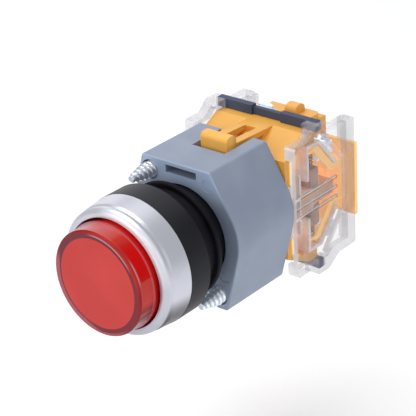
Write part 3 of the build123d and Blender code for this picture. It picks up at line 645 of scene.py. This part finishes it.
# The finish of each slot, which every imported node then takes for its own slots
finishes = {
    "red_lens": make_lens_red(),
    "silver_bezel": make_silver(),
    "zinc_screw": make_zinc(),
    "clear_cover": make_clear(),
    "diffuser": moulded("milk_white", tone(238, 232, 226), tone(228, 220, 214), 0.45, 0.003),
    "white_plastic": moulded(
        "white_moulding", tone(236, 234, 228), tone(224, 222, 216), 0.40, 0.004
    ),
    "black_plastic": make_black(),
    "gasket_rubber": moulded(
        "black_rubber", tone(26, 26, 32), tone(18, 18, 23), 0.55, 0.010, Specular_IOR_Level=0.12
    ),
    "grey_plastic": make_grey(),
    "yellow_plastic": make_yellow(),
    "bar_plastic": moulded("slate_moulding", tone(72, 84, 114), tone(62, 74, 102), 0.60, 0.016),
    # The slider gives off a faint painted glow in a pale brown
    "dark_plastic": moulded(
        "brown_slider",
        tone(214, 170, 140),
        tone(192, 146, 116),
        0.45,
        0.006,
        Emission_Strength=0.16,
        Emission_Color=tone(226, 180, 140),
    ),
    "brown_insulator": moulded(
        "brown_phenolic", tone(186, 138, 110), tone(164, 118, 92), 0.50, 0.010
    ),
    "lamp_clear": moulded("lamp_glass", tone(236, 232, 220), tone(226, 222, 208), 0.12, 0.002),
    "spring_steel": make_metal("spring_steel", tone(178, 172, 168), tone(120, 112, 108), 0.30),
    # The silvered strips and the nickel brass give off a faint painted glow
    "contact_silver": make_metal(
        "silvered_strip", tone(226, 216, 210), tone(202, 188, 180), 0.38, share=0.5, glow=0.18
    ),
    "nickel_brass": make_metal(
        "nickel_brass", tone(226, 220, 210), tone(200, 190, 178), 0.34, share=0.7, glow=0.14
    ),
}
for node in nodes.values():
    slots = node.data.materials
    for i, material in enumerate(slots):
        slots[i] = finishes[material.name].material


def draw_chain(name, points):
    """An open chain of edges through points given in millimetres."""
    bpy.ops.object.select_all(action="DESELECT")
    bpy.ops.mesh.primitive_plane_add(size=MM)
    chain = bpy.context.object
    chain.name = name
    bpy.ops.object.mode_set(mode="EDIT")
    bpy.ops.mesh.select_all(action="SELECT")
    bpy.ops.mesh.merge(type="CENTER")
    bpy.ops.transform.translate(value=Vector(points[0]) * MM)
    for last, point in zip(points, points[1:]):
        step = (Vector(point) - Vector(last)) * MM
        bpy.ops.mesh.extrude_vertices_move(TRANSFORM_OT_translate={"value": step})
    bpy.ops.object.mode_set(mode="OBJECT")
    return chain


def apply_modifier(kind, **settings):
    """Adds a modifier to the active object, sets it and applies it."""
    bpy.ops.object.modifier_add(type=kind)
    modifier = bpy.context.object.modifiers[-1]
    for key, value in settings.items():
        setattr(modifier, key, value)
    bpy.ops.object.modifier_apply(modifier=modifier.name)


def close_up():
    """Joins the doubled points of the mesh in edit mode and turns its faces outwards."""
    bpy.ops.mesh.select_all(action="SELECT")
    bpy.ops.mesh.remove_doubles(threshold=MERGE_GAP)
    bpy.ops.mesh.normals_make_consistent(inside=False)


def cut_end(place, clear_above):
    """Cuts the mesh in edit mode square across Z at a place and closes the cut."""
    bpy.ops.mesh.select_all(action="SELECT")
    bpy.ops.mesh.bisect(
        plane_co=(0, 0, place * MM),
        plane_no=(0, 0, 1),
        use_fill=True,
        clear_outer=clear_above,
        clear_inner=not clear_above,
        threshold=FINE_GAP,
    )


def join_all(pieces):
    """Joins objects into the first of them."""
    bpy.ops.object.select_all(action="DESELECT")
    for piece in pieces:
        piece.select_set(True)
    bpy.context.view_layer.objects.active = pieces[0]
    bpy.ops.object.join()
    return pieces[0]


def make_threaded_rod(shank_l):
    """A rolled thread about Z, its tip tapered above Z = 0 and its root end square below."""
    body_l = shank_l - SCREW_TIP_L
    turns = math.ceil(shank_l / THREAD_PITCH) + 2
    start = -body_l - THREAD_PITCH
    ridge = []
    for k in range(THREAD_POINTS + 1):
        crest = 0.5 - 0.5 * math.cos(k / THREAD_POINTS * 2 * math.pi)
        radius = SCREW_R - THREAD_DEPTH * (1 - crest**THREAD_FULLNESS)
        ridge.append((radius, 0, start + k / THREAD_POINTS * THREAD_PITCH))
    rod = draw_chain("clamp_screws_threaded", ridge)
    apply_modifier(
        "SCREW",
        axis="Z",
        screw_offset=THREAD_PITCH * MM,
        iterations=turns,
        steps=THREAD_SIDES,
        render_steps=THREAD_SIDES,
        use_merge_vertices=True,
        merge_threshold=MERGE_GAP,
    )
    bpy.ops.object.mode_set(mode="EDIT")
    bpy.ops.mesh.select_all(action="SELECT")
    bpy.ops.mesh.remove_doubles(threshold=MERGE_GAP)
    cut_end(-body_l, clear_above=False)
    cut_end(SCREW_TIP_L, clear_above=True)
    close_up()
    bpy.ops.object.mode_set(mode="OBJECT")
    apply_modifier(
        "SIMPLE_DEFORM",
        deform_method="TAPER",
        deform_axis="Z",
        factor=SCREW_TIP_R / SCREW_R - 1,
        limits=(body_l / shank_l, 1.0),
    )
    return rod


def make_screw_head(top):
    """A cheese head below a height, with a worn rim and a driver slot."""
    end = top - SCREW_HEAD_T
    outline = [
        (0, 0, top),
        (SCREW_HEAD_R, 0, top),
        (SCREW_HEAD_R, 0, end + HEAD_WEAR),
        (SCREW_HEAD_R - HEAD_WEAR, 0, end),
        (0, 0, end),
    ]
    head = draw_chain("clamp_screw_head", outline)
    apply_modifier(
        "SCREW",
        axis="Z",
        steps=HEAD_SIDES,
        render_steps=HEAD_SIDES,
        use_merge_vertices=True,
        merge_threshold=MERGE_GAP,
    )
    bpy.ops.object.mode_set(mode="EDIT")
    close_up()
    bpy.ops.object.mode_set(mode="OBJECT")
    bpy.ops.object.select_all(action="DESELECT")
    bpy.ops.mesh.primitive_cube_add(size=MM)
    cutter = bpy.context.object
    bpy.ops.object.mode_set(mode="EDIT")
    bpy.ops.mesh.select_all(action="SELECT")
    bpy.ops.transform.resize(value=(DRIVE_SLOT_W, 3 * SCREW_HEAD_R, 2 * DRIVE_SLOT_DEPTH))
    bpy.ops.transform.translate(value=(0, 0, end * MM))
    bpy.ops.object.mode_set(mode="OBJECT")
    bpy.context.view_layer.objects.active = head
    apply_modifier("BOOLEAN", operation="DIFFERENCE", object=cutter, solver="EXACT")
    bpy.data.objects.remove(cutter)
    return head


def make_clamp_screws():
    """Two slotted clamp screws with rolled threads, in place of the plain ones."""
    shank_l = SCREW_REAR_Y - SCREW_HEAD_T - SCREW_FRONT_Y
    rod = make_threaded_rod(shank_l)
    head = make_screw_head(SCREW_TIP_L - shank_l)
    screw = join_all([rod, head])
    screw.rotation_euler = (math.pi / 2, 0, 0)
    screw.location = Vector((SCREW_SPOT[0], SCREW_FRONT_Y + SCREW_TIP_L, SCREW_SPOT[1])) * MM
    bpy.ops.object.transform_apply(location=True, rotation=True, scale=True)
    twin = screw.copy()
    twin.data = screw.data.copy()
    bpy.context.collection.objects.link(twin)
    twin.location = Vector((-2 * SCREW_SPOT[0], 0, -2 * SCREW_SPOT[1])) * MM
    bpy.ops.object.select_all(action="DESELECT")
    twin.select_set(True)
    bpy.context.view_layer.objects.active = twin
    bpy.ops.object.transform_apply(location=True, rotation=True, scale=True)
    screws = join_all([screw, twin])
    bpy.ops.object.shade_smooth_by_angle(angle=SCREW_SMOOTHING)
    screws.data.materials.clear()
    screws.data.materials.append(finishes["zinc_screw"].material)
    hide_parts("clamp_screws")
    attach(screws, "housing")


def make_closing_spring(name, axis, low_shift, high_shift):
    """A smooth copy of a spring, hung on the housing in place of the imported one."""
    spring = bpy.data.objects.new(name + "_coil", nodes[name].data.copy())
    bpy.context.collection.objects.link(spring)
    bpy.ops.object.select_all(action="DESELECT")
    spring.select_set(True)
    bpy.context.view_layer.objects.active = spring
    bpy.ops.object.mode_set(mode="EDIT")
    bpy.ops.mesh.select_all(action="SELECT")
    bpy.ops.mesh.remove_doubles(threshold=FINE_GAP)
    bpy.ops.object.mode_set(mode="OBJECT")
    bpy.ops.object.shade_smooth_by_angle(angle=SPRING_SMOOTHING)
    # The share of its length it would keep and the anchor along it that would never shift are
    # worked out here, and nothing uses them
    along = Vector(axis)
    low, high = [corner.dot(along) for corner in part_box(name)]
    keep = 1 - (low_shift - high_shift) * MM / (high - low)
    anchor = low + low_shift * MM / (1 - keep)
    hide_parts(name)
    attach(spring, "housing")
    tuple(along * anchor)
    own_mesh(spring)


make_clamp_screws()
for name, (axis, low_shift, high_shift) in SPRING_ENDS.items():
    make_closing_spring(name, axis, low_shift, high_shift)


def soft_light(name, spot, width, power):
    """A square soft box at a spot, turned to the middle of the switch."""
    bpy.ops.object.light_add(type="AREA", location=spot)
    lamp = bpy.context.object
    lamp.name = name
    lamp.rotation_euler = (Vector(spot) - Vector(LIT_MIDDLE)).to_track_quat("Z", "Y").to_euler()
    lamp.data.size = width
    lamp.data.energy = power


def set_stage():
    """A plain pale floor well below the switch, a pale room and the soft boxes."""
    low = cad_box[0][2] - FLOOR_DROP
    bpy.ops.mesh.primitive_plane_add(size=FLOOR_W, location=(0, 0, low))
    floor = bpy.context.object
    floor.name = "floor"
    pale = Finish("pale_floor", Roughness=0.9, Emission_Strength=0.24, Specular_IOR_Level=0.1)
    cloud = pale.grain(400.0, 1.0)
    pale.colour(pale.blend(cloud, tone(250, 250, 251), tone(252, 252, 253)))
    pale.glow(WHITE)
    floor.data.materials.append(pale.material)
    world = bpy.data.worlds.new("white_room")
    world.use_nodes = True
    background = world.node_tree.nodes["Background"]
    background.inputs["Color"].default_value = ROOM_TINT
    background.inputs["Strength"].default_value = ROOM_STRENGTH
    bpy.context.scene.world = world
    for name, (spot, width, power) in SOFT_BOXES.items():
        soft_light(name, spot, width, power)
    bpy.context.scene.view_settings.view_transform = "Standard"


set_camera()
set_stage()
